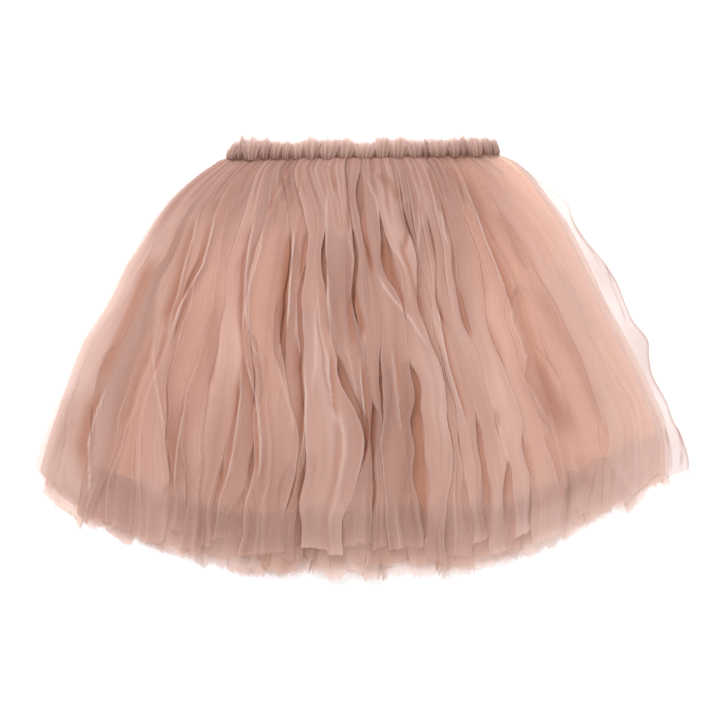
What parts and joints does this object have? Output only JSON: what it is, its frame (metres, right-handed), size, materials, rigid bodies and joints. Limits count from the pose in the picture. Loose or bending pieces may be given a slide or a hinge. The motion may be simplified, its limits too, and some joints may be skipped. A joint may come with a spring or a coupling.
{
  "type": "tulle skirt",
  "caption": "Child's gathered tulle skirt laid flat: fan of pleated see-through layers over a plain lining, hung from a straight frilled elastic waist.",
  "frame": {"origin": "on the surface that the skirt lies on, under the middle of its box", "axes": "+X across the skirt to the viewer's right, +Y up from the hem to the waist, +Z up from the surface through the front of the skirt"},
  "size_m": [0.5804, 0.3899, 0.0378],
  "materials": {
    "outer_tulle": "soft see-through net, dusty rose",
    "middle_tulle": "soft see-through net, dusty rose",
    "inner_tulle": "soft see-through net, blush",
    "lining": "smooth opaque woven lining, peach",
    "waist_frill": "tightly gathered net, dusty rose"
  },
  "bodies": {
    "root": {"outer_tulle_back": "outer_tulle", "middle_tulle_back": "middle_tulle", "inner_tulle_back": "inner_tulle", "lining_back": "lining", "lining_front": "lining", "inner_tulle_front": "inner_tulle", "middle_tulle_front": "middle_tulle", "outer_tulle_front": "outer_tulle", "waist_frill_back": "waist_frill", "waist_frill_front": "waist_frill"}
  },
  "joints": []
}
